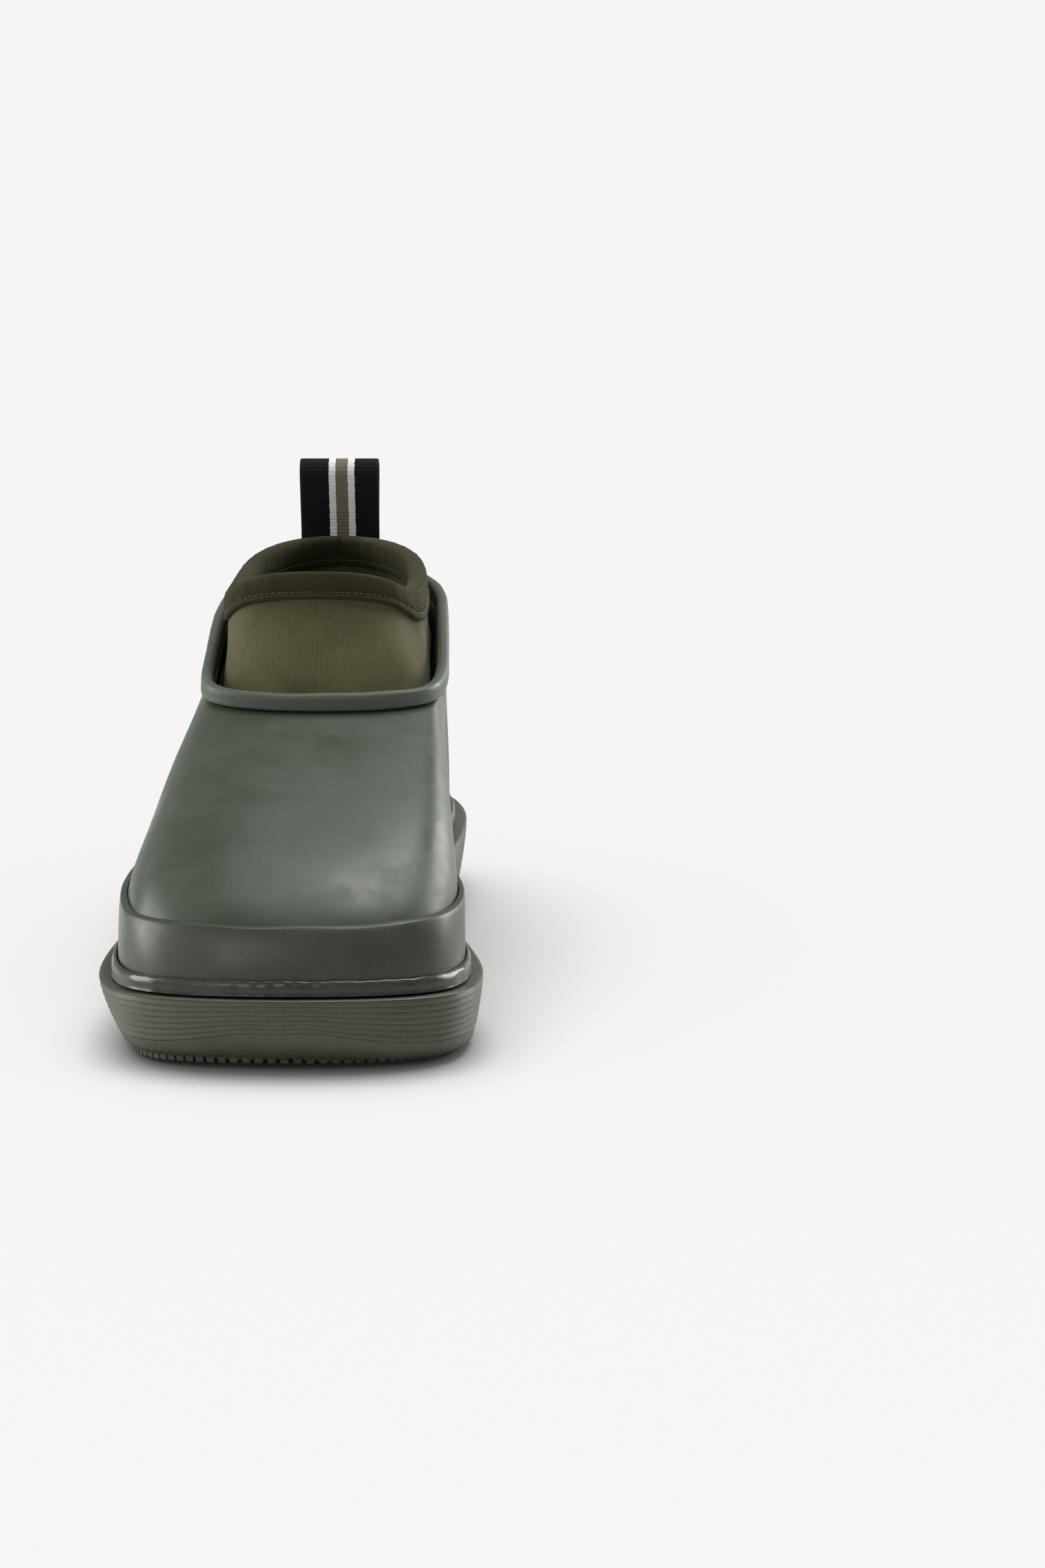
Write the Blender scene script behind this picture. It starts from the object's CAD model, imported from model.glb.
"""A right-foot rubber garden clog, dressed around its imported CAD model.

The toe points along -Y, the big-toe side is at +X and +Z is up. Sizes are in millimetres, and a mesh is turned
to metres when it is made. The sections follow the clog as it is put together, from the ground up.
"""

import math

import bpy
import numpy as np
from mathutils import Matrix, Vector


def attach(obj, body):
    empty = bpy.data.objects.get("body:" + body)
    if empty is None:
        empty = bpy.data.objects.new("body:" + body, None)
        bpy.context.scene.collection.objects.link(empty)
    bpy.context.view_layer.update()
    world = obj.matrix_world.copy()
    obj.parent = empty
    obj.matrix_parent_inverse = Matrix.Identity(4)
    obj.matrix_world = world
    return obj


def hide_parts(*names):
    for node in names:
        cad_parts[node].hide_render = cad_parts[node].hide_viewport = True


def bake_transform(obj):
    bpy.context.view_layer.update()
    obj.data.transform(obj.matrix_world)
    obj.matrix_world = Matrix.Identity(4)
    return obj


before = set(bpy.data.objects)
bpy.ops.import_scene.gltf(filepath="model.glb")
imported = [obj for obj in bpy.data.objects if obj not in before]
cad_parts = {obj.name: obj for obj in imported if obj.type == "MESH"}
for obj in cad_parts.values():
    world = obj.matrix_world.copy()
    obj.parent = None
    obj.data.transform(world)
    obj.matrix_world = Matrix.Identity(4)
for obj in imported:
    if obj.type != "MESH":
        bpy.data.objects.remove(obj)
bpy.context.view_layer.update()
scene = bpy.context.scene

# Camera, floor and studio light
# A long lens, low in front of the toe, with the clog left of its middle as one of a pair stands.
# Soft boxes to both sides and above light the rubber; the floor has a broad light of its own.
STAND_OFF = 1.922
BEARING, ELEVATION = math.radians(4.5), math.radians(13.7)
LOOK_UP, ROLL, HEADING = math.radians(90 - 12.1), math.radians(0.4), math.radians(2.46)


def placed(name, data):
    """A new object in the scene that holds some data."""
    made = bpy.data.objects.new(name, data)
    scene.collection.objects.link(made)
    return made


camera_data = bpy.data.cameras.new("camera")
camera_data.lens = 144
camera_data.clip_end = 50
camera = placed("camera", camera_data)
camera.location = STAND_OFF * Vector((
    math.sin(BEARING) * math.cos(ELEVATION), -math.cos(BEARING) * math.cos(ELEVATION), math.sin(ELEVATION)
))
camera.rotation_euler = (LOOK_UP, ROLL, HEADING)
scene.camera = camera
scene.view_settings.view_transform = "Standard"


def add_node(tree, kind, inputs=None, **settings):
    """A node of a kind, with its settings, and with its inputs set to values or linked from other nodes."""
    made = tree.nodes.new(kind)
    for name, value in settings.items():
        setattr(made, name, value)
    for name, value in (inputs or {}).items():
        if isinstance(value, bpy.types.NodeSocket):
            tree.links.new(value, made.inputs[name])
        else:
            made.inputs[name].default_value = value
    return made


def new_material(name, **values):
    """A material whose Principled BSDF has the given values, with its node tree and that shader."""
    material = bpy.data.materials.new(name)
    material.use_nodes = True
    shader = material.node_tree.nodes["Principled BSDF"]
    for socket, value in values.items():
        shader.inputs[socket.replace("_", " ")].default_value = value
    return material, material.node_tree, shader


FLOOR_REACH, FLOOR_Z = 20, -0.0001
floor_mesh = bpy.data.meshes.new("floor")
floor_mesh.from_pydata([
    (x * FLOOR_REACH, y * FLOOR_REACH, FLOOR_Z) for x, y in ((-1, -1), (1, -1), (1, 1), (-1, 1))
], [], [(0, 1, 2, 3)])
floor = placed("floor", floor_mesh)
floor_mesh.materials.append(new_material("floor_paint", Base_Color=(0.93, 0.92, 0.905, 1), Roughness=0.9)[0])

world = bpy.data.worlds.new("studio")
world.use_nodes = True
sky = world.node_tree.nodes["Background"]
sky.inputs["Color"].default_value = (0.98, 0.985, 1, 1)
seen = add_node(world.node_tree, "ShaderNodeLightPath")
glow = add_node(world.node_tree, "ShaderNodeMapRange", {
    "Value": seen.outputs["Is Camera Ray"], "To Min": 0.3, "To Max": 0.94})
world.node_tree.links.new(glow.outputs[0], sky.inputs["Strength"])
scene.world = world


def link_light(light, collection_name, state):
    """Limits a light to the floor, or keeps it off the floor."""
    collection = bpy.data.collections.new(collection_name)
    collection.objects.link(floor)
    light.light_linking.receiver_collection = collection
    collection.collection_objects[0].light_linking.link_state = state


def soft_box(name, place, size, power, target=(0, 0, 0.05)):
    """A square area light that faces the clog and leaves the floor alone."""
    data = bpy.data.lights.new(name, "AREA")
    data.size = size
    data.energy = power
    light = placed(name, data)
    light.location = place
    light.rotation_euler = (Vector(target) - Vector(place)).to_track_quat("-Z", "Y").to_euler()
    link_light(light, name, "EXCLUDE")


soft_box("left_box", (-1.6, 0.15, 0.6), 1.1, 26)
soft_box("right_box", (1.3, 1.0, 0.6), 1.0, 24)
soft_box("top_box", (0.35, 0.25, 1.5), 0.8, 16)
soft_box("front_box", (-0.7, -1.7, 0.9), 0.9, 5)
floor_sun = placed("floor_sun", bpy.data.lights.new("floor_sun", "SUN"))
floor_sun.data.energy = 2.3
floor_sun.data.angle = math.radians(60)
floor_sun.rotation_euler = (math.radians(-14), math.radians(-3), 0)
link_light(floor_sun, "floor_sun", "INCLUDE")

# Platform sole: the ridged cup
# A cup of olive rubber moulded round a foam core. Its wall is lapped like boards, seven laps that follow
# the ledge, over a plain foot; the flat ledge on top carries the upper, and the wall draws in downwards.
MM = 0.001
LEDGE = np.array([
    (1, -141), (31.5, -137), (48.8, -126), (55.8, -104), (50.5, -62), (39, -8), (38, 40), (41.5, 92), (28, 130),
    (1, 141), (-26, 130), (-39.5, 92), (-42, 40), (-48, -8), (-55, -62), (-54.5, -104), (-46, -126), (-29, -137),
], float)
HALF_LENGTH = 141.0
LAPS = 7
LAP_DEPTH = 0.62
DRAFT = 5.7
LEDGE_WIDTH = 10.5
WALL_COLUMNS = 900


def paced(rows):
    """Distance walked along a line of points, or the mean one along rows of points, from 0 at the first."""
    steps = np.linalg.norm(np.diff(rows, axis=0), axis=-1)
    return np.concatenate([[0], np.cumsum(steps if steps.ndim == 1 else steps.mean(1))])


def walked(points):
    """Distance walked round a closed outline at each of its points and back at the start, in parts of one."""
    steps = np.linalg.norm(np.roll(points, -1, 0) - points, axis=1)
    return np.concatenate([[0], np.cumsum(steps)]) / steps.sum()


KNOTS = walked(LEDGE)


def smooth(knots, values, at, closed=False):
    """A smooth curve through values at knots, with natural ends, or closed if its last knot is its first again."""
    knots, values, at = np.asarray(knots, float), np.asarray(values, float), np.asarray(at, float)
    if values.ndim == 1:
        return smooth(knots, values[:, None], at, closed)[:, 0]
    if closed:
        values = np.concatenate([values, values[:1]])
        at = at % 1
    step = np.diff(knots)
    slope = np.diff(values, axis=0) / step[:, None]
    count = len(knots) - closed
    rows, right = np.zeros((count, count)), np.zeros((count, values.shape[1]))
    for i in range(count):
        if not closed and i in (0, count - 1):
            rows[i, i] = 1
            continue
        rows[i, i - 1] += step[i - 1]
        rows[i, i] += 2 * (step[i - 1] + step[i])
        rows[i, (i + 1) % count] += step[i]
        right[i] = 6 * (slope[i] - slope[i - 1])
    bend = np.linalg.solve(rows, right)
    if closed:
        bend = np.concatenate([bend, bend[:1]])
    span = np.clip(np.searchsorted(knots, at, side="right") - 1, 0, len(step) - 1)
    wide = step[span][:, None]
    ahead = (at - knots[span])[:, None] / wide
    behind = 1 - ahead
    lift = ((behind ** 3 - behind) * bend[span] + (ahead ** 3 - ahead) * bend[span + 1]) * wide ** 2 / 6
    return behind * values[span] + ahead * values[span + 1] + lift


def inset(points, distance):
    """Moves each point of an anticlockwise closed outline inwards, square to the line between its neighbours."""
    along = np.roll(points, -1, 0) - np.roll(points, 1, 0)
    along = along / np.linalg.norm(along, axis=1)[:, None]
    return points + np.stack([-along[:, 1], along[:, 0]], 1) * distance


def ground(y):
    """Height of the tread's underside along the sole: toe spring, flat, heel bevel."""
    toe, heel = np.clip(-95 - y, 0, None), np.clip(y - 112, 0, None)
    return 260 - np.sqrt(260 ** 2 - toe ** 2) + 260 - np.sqrt(260 ** 2 - heel ** 2)


def ledge_height(y):
    """Height of the ledge along the sole."""
    return smooth([-150, -118, -70, 20, 150], [23.8, 21, 20, 22.5, 27], np.ravel(y)).reshape(np.shape(y))


def ease(low, high, value):
    """Rises smoothly from 0 to 1 between two limits."""
    share = np.clip((value - low) / (high - low), 0, 1)
    return share * share * (3 - 2 * share)


def skin(name, rows, wrap=(True, True), uv=None, sharp=35):
    """A mesh object over rows of points, given in millimetres. wrap says whether each row closes on itself, and
    whether the last row meets the first; open ends of closed rows are capped. uv is in metres."""
    count, across = rows.shape[:2]
    last_row, last_column = count if wrap[1] else count - 1, across if wrap[0] else across - 1
    index = np.arange(count * across).reshape(count, across)
    a = index[:last_row, :last_column]
    b = np.roll(index, -1, 1)[:last_row, :last_column]
    c = np.roll(np.roll(index, -1, 1), -1, 0)[:last_row, :last_column]
    d = np.roll(index, -1, 0)[:last_row, :last_column]
    faces = np.stack([a, b, c, d], -1).reshape(-1, 4).tolist()
    if wrap[0] and not wrap[1]:
        faces += [index[0, ::-1].tolist(), index[-1].tolist()]
    if wrap[1] and not wrap[0]:
        faces += [index[:, 0].tolist(), index[::-1, -1].tolist()]
    mesh = bpy.data.meshes.new(name)
    mesh.from_pydata((rows.reshape(-1, 3) * MM).tolist(), [], faces)
    if uv is not None:
        wide = np.concatenate([uv, uv[:, -1:] + (uv[:, -1:] - uv[:, -2:-1]) * [1, 0]], 1)
        wide = np.concatenate([wide, wide[-1:] + (wide[-1:] - wide[-2:-1])], 0)
        corners = np.stack([
            wide[:last_row, :last_column], wide[:last_row, 1:last_column + 1],
            wide[1:last_row + 1, 1:last_column + 1], wide[1:last_row + 1, :last_column],
        ], 2).reshape(-1, 2)
        layer = mesh.uv_layers.new(name="UVMap")
        full = np.zeros((len(mesh.loops), 2))
        full[:len(corners)] = corners
        layer.data.foreach_set("uv", full.ravel())
    return face_outwards(placed(name, mesh), sharp)


def face_outwards(piece, sharp=35):
    """Turns a closed piece's faces outwards, if most point in, and shades it smooth between sharp edges."""
    mesh = piece.data
    centres, normals, areas = [np.zeros(len(mesh.polygons) * width) for width in (3, 3, 1)]
    for name, values in (("center", centres), ("normal", normals), ("area", areas)):
        mesh.polygons.foreach_get(name, values)
    centres, normals = centres.reshape(-1, 3), normals.reshape(-1, 3)
    if ((centres - centres.mean(0)) * normals).sum(1) @ areas < 0:
        mesh.flip_normals()
    mesh.shade_smooth()
    mesh.set_sharp_from_angle(angle=math.radians(sharp))
    return piece


def finish_piece(piece, material, slot, *nodes):
    """Gives a piece its material and its record slot, and lets it ride with the clog in place of its CAD nodes."""
    piece.data.materials.clear()
    piece.data.materials.append(material)
    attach(piece, "clog")
    if nodes:
        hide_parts(*nodes)
    return piece


def sole_wall(at, inward, share):
    """Points of the sole's outside: an inset from the ledge's edge, and a share of the height up to the ledge."""
    outer = smooth(KNOTS, LEDGE, at, closed=True)
    deeper = smooth(KNOTS, inset(LEDGE, 10), at, closed=True)
    point = outer + (deeper - outer) * (np.asarray(inward) / 10)[..., None]
    base = ground(point[..., 1])
    height = base + (ledge_height(point[..., 1]) - base) * share
    return np.concatenate([point, height[..., None]], -1)


def draft_at(at, share):
    """How far the wall draws in at a share of its height: more on the outer side of the foot."""
    x = smooth(KNOTS, LEDGE, at, closed=True)[:, 0]
    return DRAFT * (1 - 0.4 * x / 55) * (1 - share) ** 1.38


def toe_share(at):
    """1 in the middle of the toe, 0 from the toe's corners on."""
    x, y = smooth(KNOTS, LEDGE, at, closed=True).T
    return (1 - ease(5, 42, abs(x))) * (y < 0)


def foot_top(at):
    """Share of the wall's height at which the laps end and the plain foot starts: higher, and wavy, at the toe."""
    return 0.3 + (0.17 + 0.012 * np.sin(at * 130)) * toe_share(at)


wall_at = np.arange(WALL_COLUMNS) / WALL_COLUMNS
plain_top = foot_top(wall_at)
lap_rows = []
for lap in range(LAPS):
    for within, out in ((0.0, 0.0), (0.05, 0.1), (0.3, 0.35), (0.6, 0.7), (0.84, 1), (0.93, 0.9), (0.985, 0.35)):
        down = (lap + within) / LAPS
        share = 0.975 - down * (0.975 - plain_top)
        fade = 1 - 0.2 * toe_share(wall_at)
        lap_rows.append(sole_wall(wall_at, draft_at(wall_at, share) - (out - 0.5) * LAP_DEPTH * fade, share))
edge_rows = [sole_wall(wall_at, np.full(WALL_COLUMNS, inward), share) for inward, share in (
    (LEDGE_WIDTH, 0.86), (LEDGE_WIDTH, 1), (LEDGE_WIDTH - 1, 1), (3.2, 0.995), (1.4, 1.0), (0.6, 1.002),
    (0.05, 0.997), (-0.2, 0.985),
)]
foot_rows = [sole_wall(wall_at, draft_at(wall_at, plain_top * part) + extra, plain_top * part) for part, extra in (
    (1.0, 0.12), (0.99, 0.0), (0.85, -0.1), (0.7, -0.05), (0.62, 0.0),
)]
under_rows = [sole_wall(wall_at, np.full(WALL_COLUMNS, 13.0), share) for share in (0.25, 0.5)]
cup_rows = np.stack(edge_rows + lap_rows + foot_rows + under_rows)
sole_cup = skin("ridged_cup", cup_rows, sharp=50)


def node_group(name, kind, inputs, outputs):
    """An empty node group, the sockets that it is given and the sockets that it gives out. Each of its inputs and
    outputs is a name, a kind and, if it has one, a starting value."""
    group = bpy.data.node_groups.new(name, kind)
    for way, sockets in (("INPUT", inputs), ("OUTPUT", outputs)):
        for socket, socket_kind, *start in sockets:
            made = group.interface.new_socket(socket, in_out=way, socket_type="NodeSocket" + socket_kind)
            if start:
                made.default_value = start[0]
    return group, group.nodes.new("NodeGroupInput").outputs, group.nodes.new("NodeGroupOutput").inputs


def maths(tree, operation, *values):
    """A sum worked out by a Math node."""
    return add_node(tree, "ShaderNodeMath", dict(enumerate(values)), operation=operation).outputs[0]


def noise(tree, place, scale, detail, **more):
    """A noise pattern at a place."""
    inputs = {"Vector": place, "Scale": scale, "Detail": detail, **more}
    return add_node(tree, "ShaderNodeTexNoise", inputs).outputs["Fac"]


def mapped(tree, value, low, high, to_low=0.0, to_high=1.0):
    """A value whose span from low to high is stretched or squeezed to another span."""
    return add_node(tree, "ShaderNodeMapRange", {
        "Value": value, "From Min": low, "From Max": high, "To Min": to_low, "To Max": to_high}).outputs[0]


def roughen(tree, shader, height, depth, **more):
    """Gives a shader a relief of a depth in millimetres."""
    bump = add_node(tree, "ShaderNodeBump", {"Height": height, "Distance": depth * MM, **more})
    tree.links.new(bump.outputs["Normal"], shader.inputs["Normal"])


def rubber_group():
    """Finish of moulded rubber: cloudy colour, a pale bloom of wax and dust, fine grain and faint scuffs."""
    group, given, out = node_group("rubber_finish", "ShaderNodeTree", (
        ("Colour", "Color", (0.1, 0.1, 0.1, 1)), ("Bloom colour", "Color", (0.3, 0.3, 0.28, 1)),
        ("Bloom", "Float", 0.2), ("Roughness", "Float", 0.5), ("Grain size", "Float", 2500),
    ), (("Colour", "Color"), ("Roughness", "Float"), ("Height", "Float")))
    place = add_node(group, "ShaderNodeTexCoord").outputs["Object"]
    cloud = noise(group, place, 38, 5, Roughness=0.6)
    speck = noise(group, place, 900, 3)
    grain = noise(group, place, given["Grain size"], 2)
    long_way = add_node(group, "ShaderNodeMapping", {"Vector": place, "Scale": (60, 60, 900)})
    scuff = noise(group, long_way.outputs[0], 1, 6)
    dusty = maths(group, "MULTIPLY", mapped(group, cloud, 0.38, 0.72), given["Bloom"])
    worn = maths(group, "ADD", dusty, mapped(group, scuff, 0.62, 0.8, 0, 0.16))
    colour = add_node(group, "ShaderNodeMix", {
        "Factor": worn, 6: given["Colour"], 7: given["Bloom colour"]}, data_type="RGBA")
    tone = add_node(group, "ShaderNodeVectorMath", {
        0: colour.outputs[2], 1: mapped(group, speck, 0.3, 0.7, 0.93, 1.06)}, operation="MULTIPLY")
    rough = maths(group, "ADD", mapped(group, cloud, 0.3, 0.7, -0.05, 0.07), given["Roughness"])
    group.links.new(tone.outputs[0], out["Colour"])
    group.links.new(maths(group, "ADD", rough, worn), out["Roughness"])
    group.links.new(maths(group, "ADD", grain, speck), out["Height"])
    return group


rubber_finish = rubber_group()


def rubber(name, colour, bloom_colour, bloom, roughness, grain, grain_size=2600):
    """A moulded rubber: its colour, its bloom, its roughness and the depth of its grain in millimetres."""
    material, tree, shader = new_material(name, Specular_IOR_Level=0.5)
    finish = add_node(tree, "ShaderNodeGroup", node_tree=rubber_finish)
    for socket, value in (("Colour", colour), ("Bloom colour", bloom_colour)):
        finish.inputs[socket].default_value = (*value, 1)
    for socket, value in (("Bloom", bloom), ("Roughness", roughness), ("Grain size", grain_size)):
        finish.inputs[socket].default_value = value
    roughen(tree, shader, finish.outputs["Height"], grain, Strength=0.5)
    tree.links.new(finish.outputs["Colour"], shader.inputs["Base Color"])
    tree.links.new(finish.outputs["Roughness"], shader.inputs["Roughness"])
    return material


sole_rubber = rubber("sole_rubber", (0.066, 0.07, 0.045), (0.16, 0.16, 0.12), 0.3, 0.42, 0.09)
finish_piece(sole_cup, sole_rubber, "sole_rubber", "sole_cup")

# Outsole tread
# One moulding of harder rubber under the cup: a plate whose rounded edge carries two rows of small nubs,
# and under it a field of bevelled diamond studs inside a row of edge blocks that bends up round the toe.
NUB_PITCH = 3.4
TREAD_COLUMNS = 1400
perimeter = paced(smooth(KNOTS, LEDGE, np.arange(2001) / 2000, closed=True))[-1]
tread_at = np.arange(TREAD_COLUMNS) / TREAD_COLUMNS
plain_foot = foot_top(tread_at)
turns = 2 * math.pi * tread_at * round(perimeter / NUB_PITCH)
tread_rows = []
for share, inward, nub, phase in (
    (0.62, 1.2, 0.0, 0), (0.62, -0.02, 0.0, 0), (0.54, 0.05, 0.05, 0), (0.48, 0.15, 0.32, 0), (0.42, 0.4, 0.05, 0),
    (0.36, 0.75, 0.05, math.pi), (0.30, 1.2, 0.36, math.pi), (0.24, 1.9, 0.08, math.pi), (0.19, 2.6, 0.1, 0),
    (0.13, 3.6, 0.55, 0), (0.08, 4.9, 0.6, 0), (0.08, 6.4, 0.5, 0), (0.10, 7.2, 0.1, 0), (0.14, 8.4, 0, 0),
):
    height = plain_foot * share
    swell = nub * (0.5 + 0.5 * np.cos(turns + phase))
    rows = sole_wall(tread_at, draft_at(tread_at, height) + inward - swell, height)
    rows[:, 2] -= 0.9 * swell * (share < 0.2)
    tread_rows.append(rows)
for inward, share in ((14.0, 0.14), (24.0, 0.14), (32.0, 0.14), (32.0, 0.2), (14.0, 0.22)):
    tread_rows.append(sole_wall(tread_at, np.full(TREAD_COLUMNS, inward), share))
outsole = skin("tread_plate", np.stack(tread_rows), sharp=60)
tread_rubber = rubber("tread_rubber", (0.058, 0.062, 0.04), (0.15, 0.15, 0.11), 0.25, 0.5, 0.1)
finish_piece(outsole, tread_rubber, "tread_rubber", "outsole_tread")

STUD_SIZE, STUD_PITCH, STUD_HEIGHT = 6.4, 10.5, 3.2
EDGE_BLOCKS = 178


def laid_out(tree, out, material, **inputs):
    """Ends a Geometry Nodes tree: a shape laid on points, made real and given its material."""
    laid = add_node(tree, "GeometryNodeInstanceOnPoints", inputs)
    real = add_node(tree, "GeometryNodeRealizeInstances", {"Geometry": laid.outputs[0]})
    dressed = add_node(tree, "GeometryNodeSetMaterial", {"Geometry": real.outputs[0], "Material": material})
    tree.links.new(dressed.outputs[0], out[0])


def stud_tree():
    """Geometry Nodes that set a bevelled stud on every point of a mesh, turned by its angle attribute."""
    tree, given, out = node_group("tread_studs", "GeometryNodeTree", (
        ("Places", "Geometry"), ("Length", "Float"), ("Width", "Float"), ("Height", "Float"),
        ("Rubber", "Material"),
    ), [("Studs", "Geometry")])
    size = add_node(tree, "ShaderNodeCombineXYZ", {0: given["Length"], 1: given["Width"], 2: given["Height"]})
    block = add_node(tree, "GeometryNodeMeshCube", {"Size": size.outputs[0]})
    corner = add_node(tree, "GeometryNodeInputPosition").outputs[0]
    apart = add_node(tree, "ShaderNodeSeparateXYZ", {0: corner})
    lower = add_node(tree, "FunctionNodeCompare", {0: apart.outputs["Z"], 1: 0.0}, operation="LESS_THAN")
    inward = add_node(tree, "ShaderNodeVectorMath", {0: corner, 1: (-0.18, -0.18, 0)}, operation="MULTIPLY")
    tapered = add_node(tree, "GeometryNodeSetPosition", {
        "Geometry": block.outputs["Mesh"], "Selection": lower.outputs[0], "Offset": inward.outputs[0]})
    angle = add_node(tree, "GeometryNodeInputNamedAttribute", {"Name": "angle"}, data_type="FLOAT")
    turn = add_node(tree, "ShaderNodeCombineXYZ", {2: angle.outputs[0]})
    laid_out(tree, out, given["Rubber"], Points=given["Places"], Instance=tapered.outputs[0],
             Rotation=turn.outputs[0])
    return tree


def grown(name, source, tree, **inputs):
    """Runs a Geometry Nodes tree on a source object and keeps its result as a plain mesh piece."""
    modifier = source.modifiers.new(tree.name, "NODES")
    modifier.node_group = tree
    for item in tree.interface.items_tree:
        if item.item_type == "SOCKET" and item.in_out == "INPUT" and item.name in inputs:
            modifier[item.identifier] = inputs[item.name]
    bpy.context.view_layer.update()
    evaluated = source.evaluated_get(bpy.context.evaluated_depsgraph_get())
    mesh = bpy.data.meshes.new_from_object(evaluated)
    mesh.name = name
    source.modifiers.remove(modifier)
    bpy.data.objects.remove(source)
    return placed(name, mesh)


def places(name, points, edges=(), angles=None):
    """A source for Geometry Nodes: points in millimetres, joined by edges, or with an angle each."""
    mesh = bpy.data.meshes.new(name)
    mesh.from_pydata((np.asarray(points) * MM).tolist(), edges, [])
    if angles is not None:
        mesh.attributes.new("angle", "FLOAT", "POINT").data.foreach_set("value", angles)
    return placed(name, mesh)


field = smooth(KNOTS, inset(LEDGE, 17), np.arange(200) / 200, closed=True)
stud_points, stud_angles = [], []
for row in range(-13, 13):
    y = (row + 0.5) * STUD_PITCH
    for column in range(-5, 6):
        x = (column + 0.5 * (row % 2)) * STUD_PITCH
        crossings = [
            a[0] + (y - a[1]) * (b[0] - a[0]) / (b[1] - a[1])
            for a, b in zip(field, np.roll(field, -1, 0)) if (a[1] > y) != (b[1] > y)
        ]
        if len(crossings) == 2 and min(crossings) < x < max(crossings):
            stud_points.append((x, y, float(ground(y)) + STUD_HEIGHT / 2))
            stud_angles.append(math.pi / 4)
block_at = np.arange(EDGE_BLOCKS) / EDGE_BLOCKS
block_line = smooth(KNOTS, inset(LEDGE, 11.2), block_at, closed=True)
block_way = np.roll(block_line, -1, 0) - np.roll(block_line, 1, 0)
block_points = [(x, y, float(ground(y)) + STUD_HEIGHT / 2) for x, y in block_line]
block_angles = np.arctan2(block_way[:, 1], block_way[:, 0])
tread_studs = stud_tree()
for name, points, angles, length, width in (
    ("tread_studs", stud_points, stud_angles, STUD_SIZE, STUD_SIZE),
    ("tread_edge_blocks", block_points, block_angles, 2.6, 5.6),
):
    piece = grown(name, places(name + "_places", points, angles=angles), tread_studs, Length=length * MM,
                  Width=width * MM, Height=STUD_HEIGHT * MM, Rubber=tread_rubber)
    face_outwards(piece, 30)
    finish_piece(piece, tread_rubber, "tread_rubber", "outsole_tread")

# Foam core and fibre board
# They fill the cup under the footbed, out of sight, so their CAD shapes stand as they are and only get their
# materials: closed-cell foam and pressed fibre.


def two_tone(tree, shader, share, dark, light):
    """Colours a shader between a dark and a light tone, and gives the two stops of the ramp that does it."""
    ramp = add_node(tree, "ShaderNodeValToRGB", {"Fac": share})
    for stop, tone in zip(ramp.color_ramp.elements, (dark, light)):
        stop.color = (*tone, 1)
    tree.links.new(ramp.outputs["Color"], shader.inputs["Base Color"])
    return ramp.color_ramp.elements


def dress(node, name, dark, light, scale, roughness):
    """Gives a piece or a CAD node a mottled material in two colours."""
    material, tree, shader = new_material(name, Roughness=roughness)
    mottle = noise(tree, add_node(tree, "ShaderNodeTexCoord").outputs["Object"], scale, 4)
    two_tone(tree, shader, mottle, dark, light)
    roughen(tree, shader, mottle, 0.1)
    node.data.materials.clear()
    node.data.materials.append(material)
    return material


dress(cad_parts["midsole_core"], "core_foam", (0.15, 0.15, 0.13), (0.26, 0.26, 0.23), 900, 0.9)
dress(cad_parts["insole_board"], "board_fibre", (0.24, 0.18, 0.1), (0.4, 0.3, 0.2), 500, 0.85)

# Footbed
# A cushion of open-cell foam with a brushed knit cover, cut a little smaller than the sock's inside. Its top edge
# is rounded over and its middle dished a little by wear.
FOOTBED_INSET = 15.8
DISH_FROM = 8
BED_COLUMNS = 300
bed_at = np.arange(BED_COLUMNS) / BED_COLUMNS


def bed_rings(profile):
    """Rings of the footbed from (extra inset, rise over the ledge line) pairs."""
    rings = []
    for inward, rise in profile:
        ring = smooth(KNOTS, inset(LEDGE, FOOTBED_INSET + min(inward, DISH_FROM)), bed_at, closed=True)
        if inward > DISH_FROM:
            middle = np.stack([np.full(BED_COLUMNS, 1.0), ring[:, 1] * 0.86], 1)
            ring = ring + (middle - ring) * (inward - DISH_FROM) / 16
        rings.append(np.concatenate([ring, (ledge_height(ring[:, 1]) + rise)[:, None]], 1))
    return np.stack(rings)


footbed_foam = skin("footbed_cushion", bed_rings((
    (14, -4.3), (8, -4.4), (0.2, -4.4), (0, -4.0), (0, -1.5), (0, 0.1), (0.3, 0.45), (8, 0.5), (14, 0.4),
)), wrap=(True, False))
footbed_cover = skin("footbed_top", bed_rings((
    (14, 0.5), (8, 0.6), (0.5, 0.6), (0.0, 0.9), (0.1, 1.3), (0.6, 1.5), (4, 1.45), (8, 1.3), (12, 1.15),
    (14, 1.1),
)), wrap=(True, False))
foam_material = dress(footbed_foam, "footbed_foam", (0.035, 0.038, 0.034), (0.075, 0.08, 0.07), 1500, 0.95)
knit_material = dress(footbed_cover, "footbed_knit", (0.045, 0.045, 0.036), (0.09, 0.09, 0.075), 2600, 0.95)
finish_piece(footbed_foam, foam_material, "footbed_foam", "footbed_foam")
finish_piece(footbed_cover, knit_material, "footbed_knit", "footbed_cover")

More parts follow.
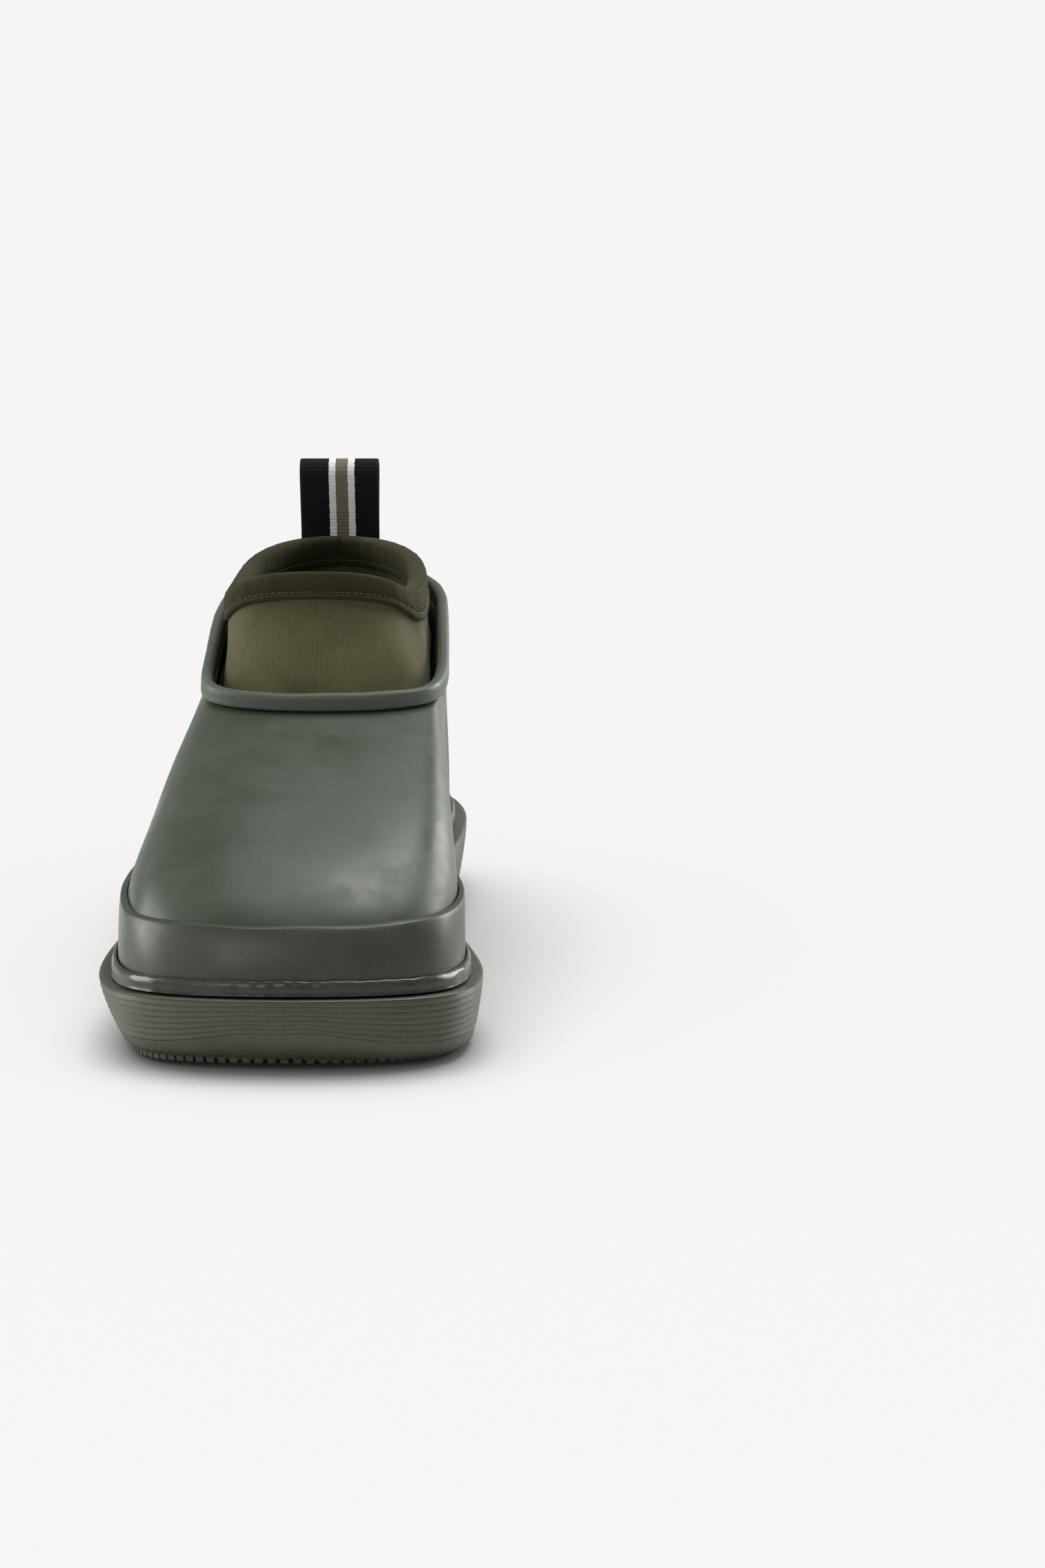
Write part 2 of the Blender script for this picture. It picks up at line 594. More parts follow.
# Rubber upper
# One moulded shell, 2 mm thick, that stands on the inner half of the ledge and rises to the rim. The rubber is a
# satin dark grey-green, darker in its hollows, with soft hand-laid waves in its surface.
RIM_X = np.array([4, 24, 35, 39, 39, 37.5, 36, 32, 19, 1, -17, -29, -33, -33, -32, -31, -27, -16], float)
SHELL_X = inset(LEDGE, 6.9)[:, 0]
STATIONS = (LEDGE[:, 1] + HALF_LENGTH) / (2 * HALF_LENGTH)
RUBBER_LEVELS = np.array([
    (12, 12, -134, 134, 0), (28, 28, -134, 134.5, 0), (42, 43, -128, 134.5, 0.04), (53, 58, -113, 133, 0.25),
    (64, 72, -88, 130, 0.5), (74.5, 86, -58, 126.5, 0.77), (84, 98, -28, 121, 1), (90.5, 110, -8, 116, 1),
])
FINE, AROUND = 300, 1440
fine_at = np.arange(AROUND) / AROUND


def surface(levels, first_x, last_x):
    """A form's grid of points through its levels, and how far each point moves per millimetre of growth.

    Each level is: height at the toe and at the heel, y at the toe and at the heel, and the share of its outline
    that comes from the last outline in place of the first."""
    grids = []
    ends = {
        "toe": np.stack([levels[:, 2], levels[:, 0]], 1), "heel": np.stack([levels[:, 3], levels[:, 1]], 1),
    }
    ways = {}
    for name, points in ends.items():
        way = np.concatenate([points[1:2] - points[:1], points[2:] - points[:-2], points[-1:] - points[-2:-1]])
        ways[name] = way / np.linalg.norm(way, axis=1)[:, None]
    for grow in (-2.0, 2.0):
        rings = []
        for i, level in enumerate(levels):
            toe = ends["toe"][i] + np.array([-ways["toe"][i][1], ways["toe"][i][0]]) * grow
            heel = ends["heel"][i] + np.array([ways["heel"][i][1], -ways["heel"][i][0]]) * grow
            length = np.linalg.norm(heel - toe)
            x = first_x + (last_x - first_x) * level[4]
            ring = inset(np.stack([x, STATIONS * length], 1), -grow)
            side = toe + (heel - toe) * STATIONS[:, None]
            rings.append(smooth(KNOTS, np.concatenate([ring[:, :1], side], 1), fine_at, closed=True))
        rings = np.stack(rings)
        walk = paced(rings)
        flat = smooth(walk / walk[-1], rings.reshape(len(rings), -1), np.linspace(0, 1, FINE))
        grids.append(flat.reshape(FINE, AROUND, 3))
    return (grids[0] + grids[1]) / 2, (grids[1] - grids[0]) / 4


def ring_at(form, grow, measure, target):
    """The ring round a form, grown by a distance, on which a measure of its points first reaches a target."""
    grid = form[0] + form[1] * grow
    rising = np.maximum.accumulate(measure(grid), axis=0)
    past = np.clip((rising < target).sum(0), 1, FINE - 1)
    column = np.arange(AROUND)
    low, high = rising[past - 1, column], rising[past, column]
    share = np.clip((target - low) / np.maximum(high - low, 1e-9), 0, 1)[:, None]
    return grid[past - 1, column] * (1 - share) + grid[past, column] * share


def above_ledge(points):
    """How high points lie over the line of the ledge."""
    return points[..., 2] - ledge_height(points[..., 1])


RIM_FRONT, RIM_BACK = (-28, 84), (121, 98)
RIM_SLOPE = math.atan2(RIM_BACK[1] - RIM_FRONT[1], RIM_BACK[0] - RIM_FRONT[0])


def above_rim(points):
    """How far points lie over the plane of the rim, square to it."""
    ahead, up = points[..., 1] - RIM_FRONT[0], points[..., 2] - RIM_FRONT[1]
    return up * math.cos(RIM_SLOPE) - ahead * math.sin(RIM_SLOPE)


def thinned(ring, columns=480):
    """A full ring thinned to a number of points."""
    return ring[:: AROUND // columns]


def wave(ring, depth, long=0.35, phase=0.0):
    """Waves in a ring's surface, some centimetres long, as the outward distance at each of its points."""
    x, y, z = ring.T
    return depth * (np.sin(x * 0.11 + z * long * 0.4 + phase) * np.sin(y * 0.07 - z * 0.09 + phase)
                    + 0.6 * np.sin(x * 0.05 - z * 0.17 + y * 0.045 + 2 * phase))


def between(low, high, count):
    """Evenly spaced shares from a low to a high one."""
    return [low + (high - low) * i / (count - 1) for i in range(count)]


rubber_form = surface(RUBBER_LEVELS, SHELL_X, RIM_X)
foot_way, side_way = rubber_form[1][60], rubber_form[1][150]


def up_share(form, grow, share, low=0.2, high=0.0):
    """Ring a share of the way from a height over the ledge up to a distance over the rim's plane."""
    foot = ring_at(form, grow, above_ledge, low)
    start = above_rim(foot)
    grid = form[0] + form[1] * grow
    return ring_at(form, grow, lambda points: (above_rim(points) - start) / (high - start), share)


OUTSIDE_ROWS = 46
upper_rows = [thinned(up_share(rubber_form, 0, share)) for share in between(0, 0.995, OUTSIDE_ROWS)]
upper_rows = [
    row + thinned(side_way) * wave(row, 0.28)[:, None] * math.sin(math.pi * i / (OUTSIDE_ROWS - 1))
    for i, row in enumerate(upper_rows)
]
upper_rows += [thinned(up_share(rubber_form, grow, 0.999)) for grow in (-0.5, -1.5)]
upper_rows += [thinned(up_share(rubber_form, -2.0, share)) for share in between(0.99, 0, 20)]
rubber_upper = skin("upper_shell", np.stack(upper_rows), sharp=50)
upper_rubber = rubber("upper_rubber", (0.041, 0.055, 0.034), (0.066, 0.082, 0.054), 0.17, 0.35, 0.03, 3200)
finish_piece(rubber_upper, upper_rubber, "upper_rubber", "rubber_upper")

# Toe puff and heel counter
# Impregnated felt, laminated out of sight between the rubber and the sock, so the CAD shapes stand as they are.
for node in ("toe_puff", "heel_counter"):
    dress(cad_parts[node], node, (0.28, 0.26, 0.21), (0.42, 0.39, 0.33), 700, 0.9)

# Guard band
# A second layer of rubber, cut from sheet and rolled on by hand round the foot of the upper. Its top edge is
# rounded by the roller and wanders a little, and dips at the outer corner of the toe.


def patch_front(z):
    """y of the heel patch's front edge at a height."""
    return 38 + (100 - z) * (72 - 38) / (100 - 20)


def guard_top(points):
    """Height of points over the guard band's top edge."""
    x, y = points[..., 0], points[..., 1]
    dip = 0.9 * np.exp(-(((x + 47) / 12) ** 2) - ((y + 108) / 14) ** 2)
    wander = 0.14 * np.sin(x * 0.21) + 0.1 * np.sin(y * 0.16 + 1)
    return points[..., 2] - (42 + (y + 150) * 0.01 - 0.25 - dip + wander)


def part_of(ring, ahead, gap, columns, front=patch_front):
    """The part of a ring ahead of, or behind, a leaning side-view line, resampled to a number of points."""
    margin = front(ring[:, 2]) - ring[:, 1]
    keep = margin > gap if ahead else margin < -gap
    start = np.flatnonzero(keep & ~np.roll(keep, 1))[0]
    count = int(keep.sum())
    index = (start + np.arange(-1, count + 1)) % len(ring)
    run, edge = ring[index], np.abs(margin[index]) - gap
    for end, inner in ((0, 1), (-1, -2)):
        share = edge[inner] / (edge[inner] + abs(margin[index[end]] - (gap if ahead else -gap)) + 1e-9)
        run[end] = run[inner] + (run[end] - run[inner]) * share
    walk = paced(run)
    at = np.linspace(0, walk[-1], columns)
    return np.stack([np.interp(at, walk, run[:, k]) for k in range(3)], 1)


def band(name, profile, ring_for, ahead, columns, gap=0.0, front=patch_front):
    """A piece swept along part of a form, with closed ends. The profile holds whatever ring_for takes."""
    rows = np.stack([part_of(ring_for(*point), ahead, gap, columns, front) for point in profile], 1)
    ends = []
    for end, inner in ((0, 1), (-1, -2)):
        middle = rows[end].mean(0)
        outward = (rows[end] - rows[inner]).mean(0)
        outward = outward / np.linalg.norm(outward)
        ends.append([rows[end] + (middle - rows[end]) * shrink + outward * out
                     for shrink, out in ((0.06, 0.12), (0.3, 0.22), (0.7, 0.25))])
    rows = np.concatenate([np.stack(ends[0][::-1]), rows, np.stack(ends[1])])
    return skin(name, rows, wrap=(True, False), sharp=55)


def guard_ring(grow, share, drop=0.0):
    """Ring a share of the way from the ledge up to the guard band's top edge, less a drop."""
    foot = ring_at(rubber_form, grow, above_ledge, 0.2)
    start = guard_top(foot)
    ring = ring_at(rubber_form, grow, lambda points: (guard_top(points) - start) / (-drop - start), share)
    return ring + foot_way * (wave(ring, 0.1, phase=2.0) * (grow > 1))[:, None]


guard_profile = [(0.2, 0, 0), (1.8, 0, 0)] + [(1.85, share, 0.5) for share in between(0.08, 1, 18)]
guard_profile += [(1.72, 1, 0.22), (1.4, 1, 0.04), (0.9, 1, 0.0), (0.2, 1, 0.02), (0.2, 0.5, 0)]
guard_band = band("rolled_guard", guard_profile, guard_ring, True, 900, 0.35)
guard_rubber = rubber("guard_rubber", (0.036, 0.045, 0.028), (0.06, 0.07, 0.047), 0.2, 0.33, 0.04, 3000)
finish_piece(guard_band, guard_rubber, "upper_rubber", "guard_band")

# Heel patch
# A thicker layer over the heel quarter. Its front edge leans back from the rim to the sole, skived thin.


def patch_ring(grow, share):
    """Ring a share of the way from the ledge up to just under the rim."""
    return up_share(rubber_form, grow, share, 0.2, -3.7)


patch_profile = [(0.2, 0), (1.85, 0)] + [(1.85, share) for share in between(0.03, 0.97, 34)]
patch_profile += [(1.75, 0.985), (1.4, 0.996), (0.9, 1), (0.2, 1), (0.2, 0.66), (0.2, 0.33)]
heel_patch = band("heel_layer", patch_profile, patch_ring, False, 560, 0.05)
finish_piece(heel_patch, upper_rubber, "upper_rubber", "heel_patch")

# Kick strip
# A thick bar round the back of the heel. The other foot's toe holds it down to pull the foot out. Its front ends
# are pointed, and four fine ribs run along it for grip.


def kick_front(z):
    """y of the kick strip's pointed front end at a height."""
    return np.interp(z, [33, 41, 47, 49], [110, 101, 104, 105]) + 0.3


def kick_ring(grow, share):
    """Ring a share of the way up the kick strip."""
    low, high = 33.2, 48.6
    foot, ring = [ring_at(rubber_form, out, lambda points: points[..., 2] - low - (high - low) * share, 0.0)
                  for out in (2.1, grow)]
    return foot + (ring - foot) * (0.15 + 0.85 * ease(103, 122, ring[:, 1]))[:, None]


kick_profile = [(2.1, 0.01), (3.1, 0.0), (3.6, 0.03)]
for rib in range(4):
    kick_profile += [(3.45, 0.08 + 0.22 * rib), (3.85, 0.12 + 0.22 * rib), (3.85, 0.21 + 0.22 * rib),
                     (3.45, 0.25 + 0.22 * rib)]
kick_profile += [(3.6, 0.97), (3.1, 1.0), (2.1, 0.99)]
kick_strip = band("kick_bar", kick_profile, kick_ring, False, 300, 0.05, kick_front)
finish_piece(kick_strip, upper_rubber, "upper_rubber", "kick_strip")

# Welt strip
# A bead of sole rubber rolled into the corner between the ledge and the guard band by hand. It is glossier than
# the rest, flattened by the roller, and slightly uneven along its length.
WELT_ROOT = 2.1


def welt_ring(grow, rise):
    """Ring of the welt at a height over the ledge, with the roller's unevenness."""
    ring = ring_at(rubber_form, WELT_ROOT, above_ledge, rise)
    x, y = ring[:, 0], ring[:, 1]
    uneven = 1 + 0.1 * np.sin(x * 0.9 + y * 0.35) * np.sin(x * 0.31 - y * 0.22)
    lift = 0.12 * np.sin(x * 0.4 + y * 0.27) + 0.08 * np.sin(x * 1.3)
    ring = ring + foot_way * ((grow - WELT_ROOT) * uneven)[:, None]
    ring[:, 2] += lift * min(1.0, max(0.0, rise - 0.4) / 2) * (0.7 if rise > 4.4 else 1)
    return ring


welt_rows = [thinned(welt_ring(grow, rise), 720) for grow, rise in (
    (WELT_ROOT, 0.2), (3.3, 0.2), (3.8, 0.32), (3.72, 0.75), (3.6, 1.3), (3.62, 2.0), (3.6, 2.7), (3.52, 3.3),
    (3.4, 3.8), (3.2, 4.3), (2.95, 4.7), (2.6, 4.98), (2.3, 5.05), (WELT_ROOT, 4.95), (WELT_ROOT, 2.5),
)]
welt_strip = skin("rolled_welt", np.stack(welt_rows), sharp=60)
welt_rubber = rubber("welt_rubber", (0.033, 0.036, 0.025), (0.07, 0.074, 0.056), 0.2, 0.22, 0.06, 2200)
finish_piece(welt_strip, welt_rubber, "sole_rubber", "welt_strip")

# Rim band
# A thick strip of rubber rolled round the upper's edge: upright, rounded at the top, with a small lip under it
# and a thin skived edge inside, against the sock.
RIM_AXIS = np.array([0, -math.sin(RIM_SLOPE), math.cos(RIM_SLOPE)])
RIM_ALONG = np.array([0, math.cos(RIM_SLOPE), math.sin(RIM_SLOPE)])
RIM_COLUMNS = 720
rim_outline = np.stack([RIM_X, STATIONS * math.dist(RIM_FRONT, RIM_BACK)], 1)
rim_at = np.arange(RIM_COLUMNS) / RIM_COLUMNS


def rim_ring(grow, rise):
    """Ring round the rim, grown outwards by a distance, at a height square to the rim's plane."""
    middle, wider = [smooth(KNOTS, inset(rim_outline, out), rim_at, closed=True) for out in (0, -1)]
    flat = middle + (wider - middle) * grow
    wander = 0.12 * np.sin(rim_at * 2 * math.pi * 9) + 0.08 * np.sin(rim_at * 2 * math.pi * 23 + 1)
    height = rise + wander * (rise > 0.5) - 0.12 * (rise > 5)
    return (0, *RIM_FRONT) + flat[:, :1] * [1, 0, 0] + flat[:, 1:] * RIM_ALONG + height[:, None] * RIM_AXIS


rim_rows = [rim_ring(grow, rise) for grow, rise in (
    (-1.75, 0.25), (0.2, 0.2), (1.4, 0.22), (1.85, 0.45), (1.98, 0.9), (1.9, 1.5), (1.86, 2.4), (1.84, 3.4),
    (1.72, 4.3), (1.4, 4.95), (0.95, 5.32), (0.4, 5.5), (-0.2, 5.52), (-0.8, 5.38), (-1.25, 5.1), (-1.55, 4.6),
    (-1.72, 3.9), (-1.78, 2.6), (-1.78, 1.2),
)]
rim_band = skin("rolled_rim", np.stack(rim_rows), sharp=60)
rim_rubber = rubber("rim_rubber", (0.06, 0.075, 0.054), (0.1, 0.115, 0.09), 0.3, 0.4, 0.04, 3000)
finish_piece(rim_band, rim_rubber, "upper_rubber", "rim_band")

# Neoprene sock
# 3 mm neoprene with a fine olive knit on both faces. It lines the whole upper and stands out of it as a soft
# collar, highest in front and dipping at the ankles.
COLLAR_X = np.array([
    2, 16, 24, 28.5, 30, 30, 29, 25, 14, 1, -12, -22.5, -26, -26.5, -26.5, -24.5, -20, -12,
], float)
COLLAR_LEVELS = np.array([
    (78, 94, -23.6, 117.6, 0), (92, 100, -16.5, 115.3, 0.35), (107, 106.5, -8.5, 112.2, 0.78),
    (122, 113.5, -3, 109.5, 1), (134, 120.5, 0.5, 107, 1.08),
])
SOCK_GIRTH = 300
neck_x = inset(rim_outline, 3.8)[:, 0]
collar_form = surface(COLLAR_LEVELS, neck_x, COLLAR_X)


def under_edge(points):
    """Height of points over the collar's top edge, less than zero below it."""
    edge = smooth([-40, -3, 4, 14, 40, 80, 110, 150], [122.5, 122, 117, 113.5, 111, 111, 113.5, 114],
                  points[..., 1].ravel())
    return points[..., 2] - edge.reshape(points.shape[:-1])


def collar_ring(grow, drop):
    """Ring round the collar at a drop below its top edge."""
    return ring_at(collar_form, grow, under_edge, -drop)


def neck_ring(grow, share):
    """Ring a share of the way up the collar, from 3.6 mm under the rim's plane to the sock's cut edge."""
    low = ring_at(collar_form, grow, above_rim, -3.6)
    start = under_edge(low)
    return ring_at(collar_form, grow, lambda points: (under_edge(points) + 1.5) / -(start + 1.5), share - 1)


def sag(ring, share):
    """Soft hollows and rolls of the collar between the rim and the binding, as an outward distance."""
    x, y, z = ring.T
    front = np.exp(-((y + 8) / 30) ** 2)
    roll = (0.35 + 0.35 * front) * math.sin(math.pi * share) * np.sin(x * 0.16 + z * 0.22 + 0.8)
    return roll - 0.2 * front * share


def neck_wall(grow, softness, shares):
    """Rings of one face of the collar, with its hollows and rolls."""
    rings = [neck_ring(grow, share) for share in shares]
    return [thinned(ring + collar_form[1][150] * sag(ring, share)[:, None] * softness)
            for ring, share in zip(rings, shares)]


neck_shares = between(0, 1, 42)
sock_rows = [thinned(up_share(rubber_form, -3.05, share, 0.25, -6.5)) for share in between(0, 1, 30)]
sock_rows += neck_wall(-0.15, 0.5, neck_shares)
sock_rows += [thinned(neck_ring(-1.0, 1)), thinned(neck_ring(-2.0, 1))]
sock_rows += neck_wall(-2.85, 0.4, neck_shares[::-1])
sock_rows += [thinned(up_share(rubber_form, -5.95, share, 0.25, -7.5)) for share in between(1, 0, 30)]
sock_rows = np.stack(sock_rows)
round_at = np.arange(sock_rows.shape[1]) / sock_rows.shape[1]
sock_uv = np.stack(np.meshgrid(round_at * SOCK_GIRTH, paced(sock_rows)), -1) * MM
neoprene_sock = skin("knit_sock", sock_rows, uv=sock_uv)


def knit_group():
    """A knit's relief and shade from a UV map in metres: columns of V stitches, with a slow unevenness."""
    group, given, out = node_group("knit_columns", "ShaderNodeTree", (
        ("Column width", "Float", 0.00055), ("Stitch length", "Float", 0.0007), ("Slant", "Float", 0.8),
    ), (("Height", "Float"), ("Shade", "Float")))

    def step(operation, *values):
        return maths(group, operation, *values)

    place = add_node(group, "ShaderNodeTexCoord").outputs
    apart = add_node(group, "ShaderNodeSeparateXYZ", {0: place["UV"]}).outputs
    shift = step("MULTIPLY", step("SUBTRACT", noise(group, place["Object"], 160, 2), 0.5), 0.0006)
    across = step("DIVIDE", step("ADD", apart["X"], shift), given["Column width"])
    off_middle = step("ABSOLUTE", step("SUBTRACT", step("FRACT", across), 0.5))
    along = step("DIVIDE", apart["Y"], given["Stitch length"])
    slanted = step("SUBTRACT", along, step("MULTIPLY", off_middle, given["Slant"]))
    leg = step("SINE", step("MULTIPLY", slanted, 2 * math.pi))
    ridge = step("SUBTRACT", 1.0, step("POWER", step("MULTIPLY", off_middle, 2.0), 2.5))
    height = step("ADD", step("MULTIPLY", ridge, 0.7), step("MULTIPLY", step("ADD", leg, 1.0), 0.1))
    cloud = step("MULTIPLY", noise(group, place["Object"], 60, 4), 0.5)
    group.links.new(height, out["Height"])
    group.links.new(step("ADD", step("MULTIPLY", height, 0.42), cloud), out["Shade"])
    return group


knit_columns = knit_group()


def knit(name, dark, light, column, stitch, slant, depth, fuzz=0.35):
    """A knitted fabric in two shades. Its column, stitch and relief are in millimetres."""
    material, tree, shader = new_material(
        name, Roughness=0.92, Sheen_Weight=fuzz, Sheen_Roughness=0.5, Specular_IOR_Level=0.2)
    stitches = add_node(tree, "ShaderNodeGroup", node_tree=knit_columns)
    for socket, value in (("Column width", column * MM), ("Stitch length", stitch * MM), ("Slant", slant)):
        stitches.inputs[socket].default_value = value
    stops = two_tone(tree, shader, stitches.outputs["Shade"], dark, light)
    stops[0].position, stops[1].position = 0.22, 0.72
    roughen(tree, shader, stitches.outputs["Height"], depth)
    return material


neoprene_knit = knit("neoprene_knit", (0.028, 0.026, 0.009), (0.135, 0.128, 0.06), 0.55, 0.62, 1.1, 0.14, 0.06)
finish_piece(neoprene_sock, neoprene_knit, "neoprene_knit", "neoprene_sock")

# Collar binding
# Rib-knit tape folded over the sock's cut edge. A sewn line pinches it, so that it stands out above as a soft
# roll and below as a narrow cord. Its ribs run across the tape, and its ends meet in a V at the heel.
RIBS, BINDING_GIRTH = 300, 290
rib_at = np.arange(AROUND) / AROUND
puff = 0.09 * np.sin(rib_at * 2 * math.pi * 41 + 0.7) + 0.07 * np.sin(rib_at * 2 * math.pi * 67)
heel_seam = np.exp(-(((rib_at - 0.5) * BINDING_GIRTH / 1.1) ** 2))
binding_profile = (
    # grow, drop, depth of the ribs
    (0.25, 9.85, 0), (0.6, 9.98, 0.05), (1.05, 9.9, 0.1), (1.32, 9.6, 0.14), (1.42, 9.2, 0.16), (1.36, 8.75, 0.14),
    (1.12, 8.35, 0.08), (0.78, 8.05, 0.03), (0.7, 7.8, 0.02), (0.78, 7.55, 0.03), (1.05, 7.2, 0.1),
    (1.25, 6.7, 0.15), (1.38, 6.0, 0.18), (1.44, 5.2, 0.18), (1.46, 4.3, 0.18), (1.44, 3.4, 0.18),
    (1.36, 2.5, 0.18), (1.2, 1.7, 0.18), (0.9, 1.0, 0.16), (0.4, 0.45, 0.14), (-0.3, 0.12, 0.12),
    (-1.1, 0.02, 0.12), (-1.9, 0.02, 0.12), (-2.7, 0.12, 0.12), (-3.4, 0.45, 0.14), (-3.9, 1.0, 0.16),
    (-4.2, 1.8, 0.17), (-4.36, 3.0, 0.17), (-4.4, 4.5, 0.16), (-4.34, 6.0, 0.12), (-4.1, 7.2, 0.06),
    (-3.9, 7.8, 0.02), (-4.1, 8.4, 0.08), (-4.3, 9.2, 0.14), (-4.0, 9.8, 0.08), (-3.25, 9.9, 0),
)
binding_rows = []
for grow, drop, relief in binding_profile:
    facing, on_top = 1 if grow > -1.5 else -1, drop < 0.4
    slant = (drop * 0.32 if facing > 0 else 3.0 + (9 - drop) * 0.32) / BINDING_GIRTH
    ribs = relief * (np.cos((rib_at + slant) * 2 * math.pi * RIBS) * 0.5 - 0.5)
    outward = ribs + puff * (relief > 0.1) * 0.6 - 0.5 * heel_seam * (relief > 0.05)
    ring = collar_ring(grow, drop) + collar_form[1][200] * (outward * facing * (not on_top))[:, None]
    ring[:, 2] += (ribs - 0.5 * heel_seam) * on_top
    binding_rows.append(ring)
binding_uv = np.stack(np.meshgrid(rib_at * BINDING_GIRTH, np.linspace(0, 30, len(binding_rows))), -1) * MM
collar_binding = skin("rib_binding", np.stack(binding_rows), uv=binding_uv, sharp=70)
binding_knit = knit("binding_knit", (0.012, 0.0105, 0.003), (0.047, 0.042, 0.015), 0.48, 0.42, 0.5, 0.08, 0.04)
finish_piece(collar_binding, binding_knit, "binding_knit", "collar_binding")

# Binding stitches
# Lockstitches 1.9 mm long that lie in the binding's pinched line, outside and inside of the collar.


def stitch_tree():
    """Geometry Nodes that lay a stitch of thread at each step of a line, pointing along it, with tapered ends."""
    tree, given, out = node_group("stitches", "GeometryNodeTree", (
        ("Seam", "Geometry"), ("Stitch length", "Float"), ("Thread radius", "Float"), ("Share sewn", "Float"),
        ("Thread", "Material"),
    ), [("Stitches", "Geometry")])
    seam = add_node(tree, "GeometryNodeMeshToCurve", {"Mesh": given["Seam"]})
    dotted = add_node(tree, "GeometryNodeResampleCurve", {
        "Curve": seam.outputs[0], "Length": given["Stitch length"]}, mode="LENGTH")
    tangent = add_node(tree, "GeometryNodeInputTangent")
    way = add_node(tree, "FunctionNodeAlignRotationToVector", {"Vector": tangent.outputs[0]}, axis="Z")
    half = maths(tree, "MULTIPLY", maths(tree, "MULTIPLY", given["Stitch length"], given["Share sewn"]), 0.5)
    ball = add_node(tree, "GeometryNodeMeshUVSphere", {"Segments": 10, "Rings": 8, "Radius": 1.0})
    size = add_node(tree, "ShaderNodeCombineXYZ", {0: given["Thread radius"], 1: given["Thread radius"], 2: half})
    laid_out(tree, out, given["Thread"], Points=dotted.outputs[0], Instance=ball.outputs["Mesh"],
             Rotation=way.outputs[0], Scale=size.outputs[0])
    return tree


stitches = stitch_tree()


def thread(name, dark, light):
    """Twisted thread, lighter along its strands."""
    material, tree, shader = new_material(name, Roughness=0.6)
    strands = noise(tree, add_node(tree, "ShaderNodeTexCoord").outputs["Object"], 3200, 1)
    two_tone(tree, shader, strands, dark, light)
    return material


def sewn(name, points, closed, length, radius, share, colour):
    """A sewn line through points in millimetres: its stitches' length, thread radius and share of thread."""
    count = len(points)
    edges = [(i, (i + 1) % count) for i in range(count if closed else count - 1)]
    piece = grown(name, places(name + "_line", points, edges), stitches, **{
        "Stitch length": length * MM, "Thread radius": radius * MM, "Share sewn": share, "Thread": colour})
    return face_outwards(piece, 60)


olive_thread = thread("olive_thread", (0.03, 0.027, 0.012), (0.1, 0.09, 0.05))
front_seam = thinned(collar_ring(1.0, 7.8), 720)
front_seam = np.roll(front_seam, -int(np.argmax(front_seam[:, 1])), axis=0)
front_seam = front_seam[front_seam[:, 1] < 106]
for name, line, closed in (
    ("outer_stitches", front_seam, False), ("inner_stitches", thinned(collar_ring(-4.2, 7.8), 720), True),
):
    piece = sewn(name, line, closed, 1.9, 0.2, 0.86, olive_thread)
    finish_piece(piece, olive_thread, "sewing_thread", "binding_thread")

# Pull loop
# One strip of ribbed webbing, 25 mm wide and 1.2 mm thick: black, with two white lines and a taupe middle. It
# runs up from the back of the collar, folds over at the top and comes back down, and both ends are sewn flat.
WEBBING_WIDTH, WEBBING_WALL = 25.0, 1.2
WEBBING_MIDDLE = 1
RIB_PITCH = 1.15
STRIPE_OFFSET = 0.9
HINGE = np.array([112.5, 114.2])
TOP_CENTRE = np.array([112.5, 133.3])
FOLD_RADIUS = 3.8


def webbing_path():
    """Side-view points along the middle of the webbing: up its back, over the fold and down its front."""
    turn = np.radians(np.linspace(-9, 189, 45))
    fold = TOP_CENTRE + FOLD_RADIUS * np.stack([np.cos(turn), np.sin(turn)], 1)
    tail = [collar_tail(2.95, z) for z in (104.8, 106.5, 108.5, 110.4)]
    front_tail = [collar_tail(2.32, z) for z in (110.4, 108.5, 106.5, 104.8)]
    pinch_back, pinch_front = HINGE + [0.62, 0.5], HINGE + [-0.02, 0.5]
    knots = np.array([*tail, pinch_back, *fold, pinch_front, *front_tail])
    walk = paced(knots)
    at = np.arange(0, walk[-1], 0.19)
    return smooth(walk, knots, at), at


def collar_tail(grow, z):
    """Side-view point in the middle of the heel, grown off the collar, at a height."""
    ring = ring_at(collar_form, grow, lambda points: points[..., 2] - z, 0.0)
    return ring[int(np.argmax(ring[:, 1])), 1:]


path, walked_on = webbing_path()
way = np.gradient(path, axis=0)
way = way / np.linalg.norm(way, axis=1)[:, None]
square = np.stack([way[:, 1], -way[:, 0]], 1)
tails = ease(112.5, 110.0, path[:, 1])
heel_curve = collar_ring(0, 6)
HALF_WIDTH = WEBBING_WIDTH / 2
across = np.concatenate([
    [-HALF_WIDTH], np.linspace(-12.42, -4.2, 12), np.linspace(-4.1, -1.9, 7), np.linspace(-1.8, 1.8, 8),
    np.linspace(1.9, 4.1, 7), np.linspace(4.2, 12.42, 12), [HALF_WIDTH],
])
heel_behind = heel_curve[heel_curve[:, 1] > 70]
order = np.argsort(heel_behind[:, 0])
fall = np.interp(across + WEBBING_MIDDLE, heel_behind[order, 0], heel_behind[order, 1]) - heel_behind[:, 1].max()
rib = 0.5 + 0.5 * np.cos(2 * math.pi * walked_on / RIB_PITCH)
white = np.exp(-((abs(across - STRIPE_OFFSET) - 3.0) ** 4))
edge = np.where(abs(across) > 12.45, 0.45, np.where(abs(across) > 12, 0.85, 1))
half = WEBBING_WALL / 2 - 0.02
loop_rows = []
